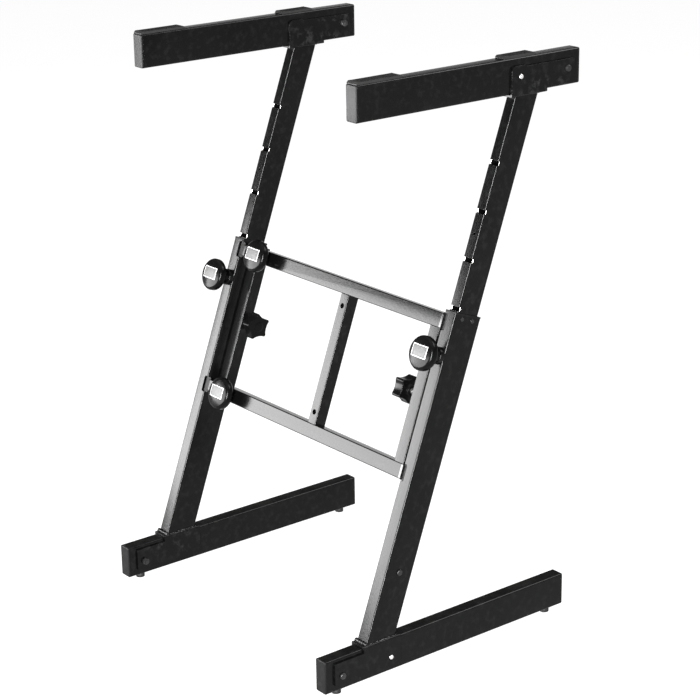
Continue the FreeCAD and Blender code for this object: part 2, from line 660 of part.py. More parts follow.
def bar_plugs(inset, wall, corner):
    """End plugs of a pair of bars, with the lugs that locate the leg."""
    plugs = []
    inside = inset + wall + PLUG_FIT
    for height in (UPPER_BAR, LOWER_BAR):
        cap = bar("x", bar_end, plug_face, (inset, BAR_DEPTH - inset),
                  span(height, BAR_HEIGHT - 2 * inset), corner)
        insert = bar("x", bar_end - END_INSERT, bar_end, (inside, BAR_DEPTH - inside),
                     span(height, BAR_HEIGHT - 2 * inside))
        lug = bar("y", LUG_FRONT, LUG_REAR, (bar_end, inner_side + LUG_REACH - END_GAP),
                  span(height, LUG_HEIGHT), LUG_CORNER)
        joined = bar("x", bar_end, plug_face, (LUG_FRONT, BAR_DEPTH - inset),
                     span(height, min(LUG_HEIGHT, BAR_HEIGHT - 2 * inset)))
        plugs.append(cap.fuse([insert, joined, lug]).removeSplitter())
    return leaned(Part.makeCompound(plugs))


def post_hole(depth):
    """Cutter for a star knob's stud through a post."""
    return rod(STUD_RADIUS + STUD_FIT, Vector(post_inner - PAST, depth, STAR_HEIGHT),
               Vector(post_outer + PAST, depth, STAR_HEIGHT))


def right_post():
    """Post between the bars beside the right leg."""
    low = LOWER_BAR + BAR_HEIGHT / 2
    high = UPPER_BAR - BAR_HEIGHT / 2
    body = tube("z", low, high, (post_inner, post_outer), (0, POST_DEPTH), BAR_CORNER, POST_WALL)
    return leaned(body.cut(post_hole(POST_DEPTH / 2)))


def left_post():
    """Post behind the slide bars, on a welded block at each (drawn on the right)."""
    low = LOWER_BAR - BAR_HEIGHT / 2
    high = UPPER_BAR + BAR_HEIGHT / 2
    across = (post_inner, post_outer)
    body = tube("z", low, high, across, (POST_SETBACK, POST_SETBACK + POST_DEPTH), BAR_CORNER, POST_WALL)
    inset = BAR_WALL + SLIDE_FIT
    blocks = []
    for height in (UPPER_BAR, LOWER_BAR):
        blocks.append(bar("z", height - BAR_HEIGHT / 2 + inset, height + BAR_HEIGHT / 2 - inset,
                          (post_inner + BAR_CORNER, bar_end), (BAR_DEPTH - inset, POST_SETBACK)))
    body = body.fuse(blocks).cut(post_hole(POST_SETBACK + POST_DEPTH / 2))
    return mirrored(leaned(body))


def centre_post():
    """Post between the bars near the middle, with two holes in its front."""
    low = LOWER_BAR + BAR_HEIGHT / 2
    high = UPPER_BAR - BAR_HEIGHT / 2
    across = span(CENTRE_POST_X, CENTRE_POST_WIDTH)
    body = tube("z", low, high, across, (0, BAR_DEPTH), BAR_CORNER, POST_WALL)
    holes = []
    for height in (low + CENTRE_HOLE_INSET, high - CENTRE_HOLE_INSET):
        front = Vector(CENTRE_POST_X, -PAST, height)
        holes.append(rod(CENTRE_HOLE_RADIUS, front, front + Vector(0, POST_WALL + 2 * PAST, 0)))
    return leaned(body.cut(holes))


# Hinges between the posts and the legs

def hinge_heights():
    """Middles of the two hinges of a leg."""
    return (LOWER_BAR + BAR_HEIGHT / 2 + HINGE_INSET, UPPER_BAR - BAR_HEIGHT / 2 - HINGE_INSET)


def knuckle(low, rear, leaf, fit):
    """Barrel of a hinge with a welded leaf."""
    high = low + KNUCKLE_LENGTH
    depth = rear + HINGE_OFFSET
    barrel = rod(BARREL_RADIUS, Vector(hinge_x, depth, low), Vector(hinge_x, depth, high))
    if leaf == "post":
        pad = bar("z", low, high, span(hinge_x, LEAF_WIDTH), (rear, rear + LEAF_RISE))
    else:
        pad = bar("z", low, high, (inner_side - LEAF_RISE, inner_side), span(depth, LEAF_WIDTH))
    bore = rod(HINGE_PIN_RADIUS + fit, Vector(hinge_x, depth, low - PAST),
               Vector(hinge_x, depth, high + PAST))
    return barrel.fuse(pad).cut(bore)


def leg_knuckles(rear):
    """Middle barrel of each hinge, welded on the upright."""
    lows = [height - KNUCKLE_LENGTH / 2 for height in hinge_heights()]
    return leaned(Part.makeCompound([knuckle(low, rear, "leg", HINGE_PIN_FIT) for low in lows]))


def post_knuckles(rear):
    """Outer barrels of each hinge, welded on the post."""
    step = KNUCKLE_LENGTH + KNUCKLE_GAP
    lows = []
    for height in hinge_heights():
        lows += [height - KNUCKLE_LENGTH / 2 - step, height - KNUCKLE_LENGTH / 2 + step]
    return leaned(Part.makeCompound([knuckle(low, rear, "post", 0.0) for low in lows]))


def hinge_pins(rear):
    """Pins held by the post's barrels."""
    half = 1.5 * KNUCKLE_LENGTH + KNUCKLE_GAP
    pins = []
    for height in hinge_heights():
        middle = Vector(hinge_x, rear + HINGE_OFFSET, height)
        pins.append(rod(HINGE_PIN_RADIUS, middle - Vector(0, 0, half), middle + Vector(0, 0, half)))
    return leaned(Part.makeCompound(pins))


def leg_pieces(post_rear, stud_depth, lobe_turn):
    """Every piece of one leg and of its hinge, drawn on the right."""
    foot_pivot = Vector(leg_x, foot_pivot_y, foot_pivot_z)
    arm_pivot = Vector(leg_x, arm_pivot_y, arm_pivot_z)
    return {
        "outer_upright": outer_upright(),
        "upright_collar": upright_collar(),
        "leg_fixings": leg_fixings(),
        "foot_bracket": channel_bracket(foot_web, foot_pivot, 1),
        "foot_pivot_bolt": pivot_bolt(foot_pivot),
        "foot_button": spring_button(foot_pivot, 1),
        "foot_tube": level_tube(foot_front, foot_rear, PAD_HEIGHT, foot_pivot, 1),
        "foot_plugs": end_plugs(foot_front, foot_rear, PAD_HEIGHT),
        "floor_pads": floor_pads(),
        "inner_upright": mast(),
        "arm_bracket": channel_bracket(arm_web, arm_pivot, -1),
        "arm_pivot_bolt": pivot_bolt(arm_pivot),
        "arm_button": spring_button(arm_pivot, -1),
        "arm_tube": level_tube(arm_front, arm_rear, ARM_LEVEL, arm_pivot, -1),
        "arm_plugs": end_plugs(arm_front, arm_rear, ARM_LEVEL),
        "rest_pads": rest_pads(),
        "height_knob": height_knob(),
        "height_pin": height_pin(),
        "pin_boss": pin_boss(),
        "star_knob": star_knob(stud_depth, lobe_turn),
        "star_stud": star_stud(stud_depth),
        "leg_knuckles": leg_knuckles(post_rear),
        "post_knuckles": post_knuckles(post_rear),
        "hinge_pins": hinge_pins(post_rear),
    }


def stand_pieces():
    """All pieces of the stand by name."""
    pieces = {}
    for name, shape in leg_pieces(POST_DEPTH, POST_DEPTH / 2, RIGHT_STAR_TURN).items():
        pieces["right_" + name] = shape
    left_rear = POST_SETBACK + POST_DEPTH
    left_stud = POST_SETBACK + POST_DEPTH / 2
    for name, shape in leg_pieces(left_rear, left_stud, LEFT_STAR_TURN).items():
        pieces["left_" + name] = mirrored(shape)
    for name, height in (("upper", UPPER_BAR), ("lower", LOWER_BAR)):
        pieces[name + "_bar"] = outer_bar(height)
        pieces[name + "_clamp_knob"] = clamp_knob(height)
        pieces[name + "_clamp_screw"] = clamp_screw(height)
    pieces["right_post"] = right_post()
    pieces["left_post"] = left_post()
    pieces["centre_post"] = centre_post()
    pieces["slide_bars"] = slide_bars()
    pieces["right_bar_plugs"] = bar_plugs(0.0, BAR_WALL, BAR_CORNER)
    pieces["left_bar_plugs"] = mirrored(bar_plugs(BAR_WALL + SLIDE_FIT, SLIDE_WALL, SLIDE_CORNER))
    return pieces


os.makedirs("parts", exist_ok=True)
for piece_name, piece in stand_pieces().items():
    finished = piece.transformed(AT_ORIGIN.toMatrix(), copy=True)
    finished.exportStep("parts/" + piece_name + ".step")
    print(piece_name, len(finished.Solids), finished.isValid(), round(finished.Volume, 1))
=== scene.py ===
import bmesh
import bpy
import json
import math
from mathutils import Matrix, Vector


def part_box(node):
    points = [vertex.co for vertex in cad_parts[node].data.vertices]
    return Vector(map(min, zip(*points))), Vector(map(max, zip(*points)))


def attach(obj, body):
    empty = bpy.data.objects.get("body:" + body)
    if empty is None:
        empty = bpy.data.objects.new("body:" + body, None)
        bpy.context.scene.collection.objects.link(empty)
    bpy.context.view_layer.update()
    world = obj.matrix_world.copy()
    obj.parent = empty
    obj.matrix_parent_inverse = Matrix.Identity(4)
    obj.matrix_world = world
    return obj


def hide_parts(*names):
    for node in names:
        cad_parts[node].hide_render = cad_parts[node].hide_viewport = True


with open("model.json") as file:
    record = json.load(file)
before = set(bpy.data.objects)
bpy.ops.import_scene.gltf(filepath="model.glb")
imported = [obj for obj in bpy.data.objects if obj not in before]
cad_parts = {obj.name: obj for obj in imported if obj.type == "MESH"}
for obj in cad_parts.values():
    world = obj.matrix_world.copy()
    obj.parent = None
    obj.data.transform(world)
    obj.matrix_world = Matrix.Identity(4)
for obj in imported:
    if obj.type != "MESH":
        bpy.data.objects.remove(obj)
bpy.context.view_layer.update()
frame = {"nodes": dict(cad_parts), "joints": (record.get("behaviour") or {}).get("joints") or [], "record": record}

MM = 0.001
SIDES = {"right": 1, "left": -1}
joints = {joint["name"]: joint for joint in frame["joints"]}
slot_of = {part["node"]: part["material_slot"] for part in frame["record"]["subparts"]}
body_of = {node: body for body, nodes in frame["record"]["behaviour"]["bodies"].items() for node in nodes}

ALONG_LEG = Vector(joints["right_height"]["axis"])
FORWARD = Vector(joints["right_height_pull"]["axis"])
ACROSS = Vector((1, 0, 0))
UP = Vector((0, 0, 1))


# -------------------------------------------------------------- shader nodes

def add(tree, kind, settings=None, **values):
    """Node with settings by property name; values link or set inputs by socket name or number."""
    node = tree.nodes.new(kind)
    for key, value in (settings or {}).items():
        setattr(node, key, value)
    for key, value in values.items():
        numbered = key[0] == "_" and key[1:].isdigit()
        socket = node.inputs[int(key[1:]) if numbered else key.replace("_", " ")]
        if isinstance(value, bpy.types.NodeSocket):
            tree.links.new(value, socket)
        else:
            socket.default_value = value
    return node


def remap(tree, value, low, high, to_low, to_high):
    """Value taken from one range to another and held inside it."""
    node = add(tree, "ShaderNodeMapRange", {"clamp": True}, Value=value,
               From_Min=low, From_Max=high, To_Min=to_low, To_Max=to_high)
    return node.outputs["Result"]


def calc(tree, operation, first, second):
    return add(tree, "ShaderNodeMath", {"operation": operation}, _0=first, _1=second).outputs[0]


def mixed(tree, factor, first, second):
    return add(tree, "ShaderNodeMix", {"data_type": "RGBA"}, _0=factor, _6=first, _7=second).outputs[2]


def own_place(tree):
    return add(tree, "ShaderNodeTexCoord").outputs["Object"]


def noise(tree, scale, detail, roughness=0.5):
    """Noise in the piece's own coordinates."""
    node = add(tree, "ShaderNodeTexNoise", Vector=own_place(tree), Scale=scale, Detail=detail, Roughness=roughness)
    return node.outputs["Fac"]


def grey(value, warm=0.0):
    return (value * (1 + warm), value, value * (1 - warm), 1)


# --------------------------------------------------------------- node groups

def group(name, inputs, outputs):
    """Empty shader group with float sockets; gives its tree, what goes in and what comes out."""
    tree = bpy.data.node_groups.new(name, "ShaderNodeTree")
    for label, default in inputs.items():
        socket = tree.interface.new_socket(name=label, in_out="INPUT", socket_type="NodeSocketFloat")
        socket.default_value = default
    for label in outputs:
        tree.interface.new_socket(name=label, in_out="OUTPUT", socket_type="NodeSocketFloat")
    return tree, tree.nodes.new("NodeGroupInput").outputs, tree.nodes.new("NodeGroupOutput").inputs


def orange_peel_group():
    """Skin of a sprayed coat: fine dimples, larger waves, and patches of unlike gloss."""
    tree, given, result = group("orange_peel", {"Grain": 1.0, "Base": 0.3, "Spread": 0.06},
                                ("Height", "Roughness"))
    dimples = noise(tree, calc(tree, "MULTIPLY", given["Grain"], 1150.0), 2.0)
    waves = noise(tree, calc(tree, "MULTIPLY", given["Grain"], 260.0), 1.0)
    patches = remap(tree, noise(tree, 14.0, 4.0, 0.55), 0.3, 0.7, -1.0, 1.0)
    change = calc(tree, "MULTIPLY", patches, given["Spread"])
    tree.links.new(calc(tree, "ADD", dimples, calc(tree, "MULTIPLY", waves, 1.4)), result["Height"])
    tree.links.new(calc(tree, "ADD", given["Base"], change), result["Roughness"])
    return tree


def edge_rub_group():
    """Mask of corners that rub against things, broken up by noise."""
    tree, given, result = group("edge_rub", {"Amount": 0.5}, ("Mask",))
    convex = remap(tree, add(tree, "ShaderNodeNewGeometry").outputs["Pointiness"], 0.52, 0.6, 0.0, 1.0)
    broken = remap(tree, noise(tree, 95.0, 5.0, 0.6), 0.5, 0.66, 0.0, 1.0)
    mask = calc(tree, "MULTIPLY", calc(tree, "MULTIPLY", convex, broken), given["Amount"])
    tree.links.new(mask, result["Mask"])
    return tree


def dust_group():
    """Thin dust that lies on what faces up, and a few specks all over."""
    tree, given, result = group("dust", {"Amount": 0.3}, ("Mask",))
    normal = add(tree, "ShaderNodeNewGeometry").outputs["Normal"]
    facing_up = remap(tree, add(tree, "ShaderNodeSeparateXYZ", Vector=normal).outputs["Z"], 0.5, 1.0, 0.0, 1.0)
    haze = remap(tree, noise(tree, 38.0, 6.0, 0.6), 0.42, 0.75, 0.0, 1.0)
    cells = add(tree, "ShaderNodeTexVoronoi", {"feature": "F1"}, Vector=own_place(tree), Scale=210.0)
    specks = remap(tree, cells.outputs["Distance"], 0.05, 0.10, 0.5, 0.0)
    both = calc(tree, "MAXIMUM", calc(tree, "MULTIPLY", facing_up, haze), specks)
    tree.links.new(calc(tree, "MULTIPLY", both, given["Amount"]), result["Mask"])
    return tree


GROUPS = {"orange_peel": orange_peel_group(), "edge_rub": edge_rub_group(), "dust": dust_group()}


def use_group(tree, name, **values):
    return add(tree, "ShaderNodeGroup", {"node_tree": GROUPS[name]}, **values).outputs


# ------------------------------------------------------------------ materials

def new_material(name):
    material = bpy.data.materials.new(name)
    material.use_nodes = True
    tree = material.node_tree
    tree.nodes.clear()
    shader = tree.nodes.new("ShaderNodeBsdfPrincipled")
    output = tree.nodes.new("ShaderNodeOutputMaterial")
    tree.links.new(shader.outputs["BSDF"], output.inputs["Surface"])
    return material, tree, shader


def bump(tree, shader, height, strength, distance=0.0001):
    node = add(tree, "ShaderNodeBump", Height=height, Strength=strength, Distance=distance)
    tree.links.new(node.outputs["Normal"], shader.inputs["Normal"])


def coated(name, colour, roughness, spread, grain, dimples, rub, rub_colour, dust, specular):
    """Black finish with a skin texture, rubbed edges and a trace of dust."""
    material, tree, shader = new_material(name)
    peel = use_group(tree, "orange_peel", Grain=grain, Base=roughness, Spread=spread)
    rubbed = use_group(tree, "edge_rub", Amount=rub)["Mask"]
    dusty = use_group(tree, "dust", Amount=dust)["Mask"]
    cloud = remap(tree, noise(tree, 9.0, 3.0), 0.35, 0.65, 0.0, 1.0)
    base = mixed(tree, cloud, grey(colour * 0.8), grey(colour * 1.2))
    base = mixed(tree, rubbed, base, grey(rub_colour))
    base = mixed(tree, dusty, base, grey(0.22, 0.05))
    tree.links.new(base, shader.inputs["Base Color"])
    dulled = calc(tree, "ADD", peel["Roughness"], calc(tree, "MULTIPLY", dusty, 0.3))
    tree.links.new(dulled, shader.inputs["Roughness"])
    bump(tree, shader, peel["Height"], dimples)
    shader.inputs["Specular IOR Level"].default_value = specular
    return material


def plated(name, colour, roughness):
    """Metal surface with a fine spangle and patches where it has dulled."""
    material, tree, shader = new_material(name)
    spangle = add(tree, "ShaderNodeTexVoronoi", Vector=own_place(tree), Scale=900.0).outputs["Distance"]
    dull = noise(tree, 160.0, 4.0, 0.6)
    tint = mixed(tree, remap(tree, dull, 0.4, 0.7, 0.0, 1.0), grey(colour, 0.01), grey(colour * 0.7, 0.03))
    tree.links.new(tint, shader.inputs["Base Color"])
    rough = calc(tree, "ADD", remap(tree, dull, 0.3, 0.7, roughness, roughness + 0.18),
                 calc(tree, "MULTIPLY", spangle, 0.08))
    tree.links.new(rough, shader.inputs["Roughness"])
    shader.inputs["Metallic"].default_value = 1.0
    bump(tree, shader, dull, 0.15, 0.0002)
    return material


def blank_field(name):
    """Plain printed field: a pale outer line, a dark line inside it and a grey middle, a little worn."""
    material, tree, shader = new_material(name)
    field = add(tree, "ShaderNodeAttribute", {"attribute_name": "inset"}).outputs["Fac"]
    wear = noise(tree, 420.0, 5.0, 0.65)
    worn = remap(tree, wear, 0.55, 0.72, 0.0, 0.4)
    tone = mixed(tree, remap(tree, field, 1.3, 1.6, 0.0, 1.0), grey(0.2), grey(0.003))
    tone = mixed(tree, remap(tree, field, 2.3, 2.6, 0.0, 1.0), tone, grey(0.034))
    tree.links.new(mixed(tree, worn, tone, grey(0.03)), shader.inputs["Base Color"])
    tree.links.new(remap(tree, wear, 0.3, 0.7, 0.4, 0.6), shader.inputs["Roughness"])
    shader.inputs["Specular IOR Level"].default_value = 0.3
    bump(tree, shader, wear, 0.1)
    return material


FINISH = {
    "black_paint": coated("black_powder_coat", colour=0.001, roughness=0.19, spread=0.008, grain=1.0,
                          dimples=0.24, rub=0.3, rub_colour=0.02, dust=0.012, specular=0.095),
    "black_plastic": coated("black_moulded_plastic", colour=0.0012, roughness=0.48, spread=0.03, grain=2.2,
                            dimples=0.16, rub=0.25, rub_colour=0.02, dust=0.012, specular=0.10),
    "black_rubber": coated("black_rubber", colour=0.006, roughness=0.58, spread=0.08, grain=1.7,
                           dimples=0.5, rub=0.3, rub_colour=0.02, dust=0.06, specular=0.16),
    "zinc_steel": plated("bright_zinc_plate", 0.78, 0.16),
}
KNOB_PLASTIC = coated("knob_plastic", colour=0.001, roughness=0.20, spread=0.01, grain=1.4,
                      dimples=0.10, rub=0.2, rub_colour=0.02, dust=0.012, specular=0.05)
BLANK_PATCH = blank_field("blank_patch")
WELD_PAINT = coated("painted_weld", colour=0.001, roughness=0.16, spread=0.02, grain=0.8,
                    dimples=0.2, rub=0.4, rub_colour=0.02, dust=0.012, specular=0.15)
CAP_PLASTIC = coated("bar_cap_plastic", colour=0.0012, roughness=0.20, spread=0.03, grain=1.4,
                     dimples=0.10, rub=0.2, rub_colour=0.02, dust=0.03, specular=0.3)
BARE_STEEL = plated("bare_steel_cut", 0.6, 0.30)
# Steel darkened far below the zinc plate. This is painted shade for the star studs, which sit in shade between
# knob and post and reflect their dark surroundings. The clamp screws share it.
SHADE_DARKENED_STEEL = plated("shade_darkened_steel", 0.22, 0.30)
DARK_BOLT = coated("dark_bolt_steel", colour=0.006, roughness=0.26, spread=0.05, grain=1.6,
                   dimples=0.2, rub=0.4, rub_colour=0.10, dust=0.04, specular=0.2)


# --------------------------------------------------------------- piece making

def piece_from(bm, name, body, slot, material=None, smooth=40.0):
    """Finished piece of a bmesh, shaded smooth up to an angle and riding on a body."""
    mesh = bpy.data.meshes.new(name)
    bm.to_mesh(mesh)
    bm.free()
    if "custom_normal" in mesh.attributes:
        mesh.attributes.remove(mesh.attributes["custom_normal"])
    mesh.materials.clear()
    mesh.materials.append(material or FINISH[slot])
    mesh.polygons.foreach_set("material_index", [0] * len(mesh.polygons))
    mesh.shade_smooth()
    mesh.set_sharp_from_angle(angle=math.radians(smooth))
    piece = bpy.data.objects.new(name, mesh)
    bpy.context.scene.collection.objects.link(piece)
    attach(piece, body)
    return piece


def soften(piece, width, angle=35.0):
    """Small bevel on the piece's sharp edges, its width in mm."""
    modifier = piece.modifiers.new("softened edges", "BEVEL")
    modifier.width = width * MM
    modifier.segments = 2
    modifier.limit_method = "ANGLE"
    modifier.angle_limit = math.radians(angle)
    modifier.use_clamp_overlap = True
    modifier.harden_normals = True


def polished(node, width, material=None):
    """Copy of a CAD node with merged corners, flat faces made whole and softened edges."""
    bm = bmesh.new()
    bm.from_mesh(frame["nodes"][node].data)
    bmesh.ops.remove_doubles(bm, verts=bm.verts, dist=2e-6)
    bmesh.ops.dissolve_limit(bm, angle_limit=math.radians(0.4), use_dissolve_boundaries=False,
                             verts=bm.verts, edges=bm.edges, delimit=set())
    piece = piece_from(bm, node + "_finished", body_of[node], slot_of[node], material)
    soften(piece, width)
    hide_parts(node)
    return piece


def set_at(bm, base, direction, up=ALONG_LEG):
    """Move what was drawn about +Z at the origin to a base, with its axis along direction and its +Y up."""
    z = direction.normalized()
    y = (up - up.dot(z) * z).normalized()
    x = y.cross(z)
    turn = Matrix((x, y, z)).transposed().to_4x4()
    bmesh.ops.transform(bm, matrix=Matrix.Translation(base) @ turn, verts=bm.verts)


def round_edges(bm, edges, width, segments):
    """Bevel of some edges, its width in mm."""
    bmesh.ops.bevel(bm, geom=edges, offset=width * MM, segments=segments, affect="EDGES",
                    profile=0.5, material=-1)


def turned(profile, steps, roundings):
    """Bmesh spun about +Z from (radius, height) points in mm; roundings bevel its rings."""
    bm = bmesh.new()
    points = [bm.verts.new((radius * MM, 0, height * MM)) for radius, height in profile]
    for first, second in zip(points, points[1:]):
        bm.edges.new((first, second))
    bmesh.ops.spin(bm, geom=bm.verts[:] + bm.edges[:], cent=(0, 0, 0), axis=(0, 0, 1),
                   angle=math.tau, steps=steps, use_merge=True)
    bmesh.ops.remove_doubles(bm, verts=bm.verts, dist=1e-7)
    bmesh.ops.recalc_face_normals(bm, faces=bm.faces)
    for height, radius, width, segments in roundings:
        ring = [edge for edge in bm.edges
                if all(abs(vert.co.z - height * MM) < 1e-6 and abs(vert.co.xy.length - radius * MM) < 1e-5
                       for vert in edge.verts)]
        round_edges(bm, ring, width, segments)
    return bm


def thickened(bm, depth):
    """Flat sheet made solid along Z by a depth in mm."""
    shell = bmesh.ops.extrude_face_region(bm, geom=bm.faces[:])
    moved = [item for item in shell["geom"] if isinstance(item, bmesh.types.BMVert)]
    bmesh.ops.translate(bm, vec=(0, 0, depth * MM), verts=moved)
    bmesh.ops.recalc_face_normals(bm, faces=bm.faces)


def rise(edge):
    return abs(edge.verts[0].co.z - edge.verts[1].co.z)


def middle(node):
    low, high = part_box(node)
    return (low + high) / 2


# --------------------------------------------------------------- round knobs

KNOB_RADIUS = 25.0
KNOB_FACE = 20.5
KNOB_DOME = 2.2
KNOB_BACK = 14.0
KNOB_TAPER = 22.0
KNOB_HUB = 11.5
KNOB_BORE = 3.6
KNOB_RIM_ROUND = 4.2
KNOB_BACK_ROUND = 2.85
PATCH_HALF = (15.2, 9.1)
PATCH_MIDDLE = (-0.6, 2.0)
PATCH_LIFT = 0.12
PATCH_DEPTH = 0.3

# the pin boss's middle stands this far ahead of its upright's face
BOSS_LEAD = 4.0
PULL_FACE = 39.2
PULL_LENGTH = 30.9
# from the clamp screw's middle to its knob's face
CLAMP_FACE = 17.75
CLAMP_LENGTH = 23.2


def dome(radius):
    """Height of the domed face at a radius, in mm."""
    return -KNOB_DOME * (radius / KNOB_FACE) ** 2


def round_knob(name, body, face, length):
    """Domed knob with a rounded rim, a coned back and a hub; its height 0 is the face."""
    rim = dome(KNOB_RADIUS)
    hub = length - KNOB_TAPER
    profile = [(radius, dome(radius)) for radius in (0, 4, 8, 12, 16, KNOB_FACE)]
    profile += [(KNOB_RADIUS, rim), (KNOB_RADIUS, -KNOB_BACK), (KNOB_HUB, -KNOB_TAPER),
                (KNOB_HUB, -length), (KNOB_BORE, -length)]
    bm = turned(profile, 96, ((rim, KNOB_RADIUS, KNOB_RIM_ROUND, 8),
                              (-KNOB_BACK, KNOB_RADIUS, KNOB_BACK_ROUND, 6),
                              (-KNOB_TAPER, KNOB_HUB, min(1.1, hub * 0.5), 5),
                              (-length, KNOB_HUB, min(0.6, hub * 0.35), 2)))
    set_at(bm, face, FORWARD)
    return piece_from(bm, name, body, "black_plastic", KNOB_PLASTIC)


def blank_patch(name, body, face):
    """Blank field, proud of the knob's face by a hair; it keeps how far each point is from its border."""
    bm = bmesh.new()
    inset = bm.verts.layers.float.new("inset")
    bmesh.ops.create_grid(bm, x_segments=60, y_segments=36, size=1.0)
    for vert in bm.verts:
        x, y = vert.co.x * PATCH_HALF[0], vert.co.y * PATCH_HALF[1]
        vert[inset] = min(PATCH_HALF[0] - abs(x), PATCH_HALF[1] - abs(y))
        x, y = x + PATCH_MIDDLE[0], y + PATCH_MIDDLE[1]
        vert.co = Vector((x, y, PATCH_LIFT + dome(math.hypot(x, y)))) * MM
    thickened(bm, -PATCH_DEPTH)
    set_at(bm, face, FORWARD)
    piece_from(bm, name, body, "black_plastic", BLANK_PATCH, 30)


for side in SIDES:
    face = middle(side + "_pin_boss") + FORWARD * (PULL_FACE - BOSS_LEAD) * MM
    body = side + "_height_pull"
    knob = round_knob(side + "_pull_knob", body, face, PULL_LENGTH)
    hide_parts(side + "_height_knob")
    blank_patch(side + "_pull_patch", body, face)
for level in ("upper", "lower"):
    face = middle(level + "_clamp_screw") + FORWARD * CLAMP_FACE * MM
    body = level + "_clamp"
    knob = round_knob(level + "_clamp_handle", body, face, CLAMP_LENGTH)
    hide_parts(level + "_clamp_knob")
    blank_patch(level + "_clamp_patch", body, face)


# ---------------------------------------------------------------- star knobs

STAR_LOBES = 5
STAR_FIRST_LOBE = 72.0
STAR_TIP = 23.5
STAR_VALLEY = 13.4
STAR_THICKNESS = 17.0
STAR_TIP_ROUND = 4.8
STAR_VALLEY_ROUND = 9.6
STAR_RIM_ROUND = 1.5
STAR_SHIFT = 8.5
STAR_BORE = 4.1
STAR_HUB = 8.0
STAR_HUB_FOOT = 9.2
STAR_HUB_START = 7.5
STAR_HUB_END = 13.5
STAR_CAP = 8.6


def star_handle(side, sign):
    """Five-lobed knob with a low cap on its face and a coned hub towards its post."""
    bm = bmesh.new()
    outline = []
    for step in range(STAR_LOBES * 2):
        radius = STAR_TIP if step % 2 == 0 else STAR_VALLEY
        angle = math.radians(STAR_FIRST_LOBE + 180 * step / STAR_LOBES)
        outline.append(bm.verts.new((radius * math.cos(angle) * MM, radius * math.sin(angle) * MM, 0.0)))
    bm.faces.new(outline)
    thickened(bm, STAR_THICKNESS)
    valleys = [edge for edge in bm.edges if rise(edge) > 1e-4 and edge.verts[0].co.xy.length < 0.018]
    round_edges(bm, valleys, STAR_VALLEY_ROUND, 8)
    tips = [edge for edge in bm.edges if rise(edge) > 1e-4 and edge.verts[0].co.xy.length > 0.0225]
    round_edges(bm, tips, STAR_TIP_ROUND, 6)
    rims = [edge for edge in bm.edges if rise(edge) < 1e-6]
    round_edges(bm, rims, STAR_RIM_ROUND, 4)

    low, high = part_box(side + "_star_stud")
    centre = middle(side + "_star_stud")
    start = Vector((low.x if sign > 0 else high.x, centre.y, centre.z))
    towards_post = ACROSS * sign
    outer = start - towards_post * STAR_SHIFT * MM
    body = side + "_star"
    set_at(bm, outer, towards_post)
    knob = piece_from(bm, side + "_star_handle", body, "black_plastic", KNOB_PLASTIC, 50)
    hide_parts(side + "_star_knob")

    hub = turned([(STAR_BORE, STAR_HUB_START), (STAR_HUB_FOOT, STAR_HUB_START), (STAR_HUB, STAR_HUB_END),
                  (STAR_BORE, STAR_HUB_END)], 48, ((STAR_HUB_END, STAR_HUB, 0.6, 2),))
    set_at(hub, start, towards_post)
    piece_from(hub, side + "_star_hub", body, "black_plastic", KNOB_PLASTIC)

    cap = turned([(0, 1.1), (5.5, 0.8), (STAR_CAP, 0.0), (STAR_CAP, -0.6), (0, -0.6)], 48,
                 ((0.0, STAR_CAP, 0.3, 2),))
    set_at(cap, outer, -towards_post)
    piece_from(cap, side + "_star_cap", body, "black_plastic", KNOB_PLASTIC)


for side, sign in SIDES.items():
    star_handle(side, sign)


# -------------------------------------------------------------- rubber pieces

PAD_RADIUS = 7.0
PAD_WAIST = 6.5
PAD_TOP = 8.0
REST_SLOPE = 2.4
REST_MARGIN = 7.0
GROOVE_WALL = 0.9
GROOVE_DEPTH = 0.7
FRONT_REST, FRONT_RIBS = 78.0, 16
REAR_REST, REAR_RIBS = 58.0, 11


def floor_pad(name, body, base):
    """Moulded rubber foot: ribbed skirt, recessed ring and a narrower neck."""
    profile = [(0, 0.35), (3.4, 0.35), (3.8, 0.0), (PAD_RADIUS, 0.0), (PAD_RADIUS, 1.6), (PAD_WAIST, 2.0),
               (PAD_WAIST, 2.6), (PAD_RADIUS, 3.0), (PAD_RADIUS, 4.4), (5.5, PAD_TOP), (0, PAD_TOP)]
    bm = turned(profile, 48, ((0.0, PAD_RADIUS, 0.5, 3), (4.4, PAD_RADIUS, 0.5, 3)))
    set_at(bm, base, UP, up=Vector((0, 1, 0)))
    return piece_from(bm, name, body, "black_rubber")


for side in SIDES:
    low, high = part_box(side + "_floor_pads")
    x = (low.x + high.x) / 2
    for end, y in (("front", low.y + PAD_RADIUS * MM), ("rear", high.y - PAD_RADIUS * MM)):
        floor_pad(f"{side}_{end}_floor_pad", side + "_foot", Vector((x, y, 0)))
    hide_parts(side + "_floor_pads")


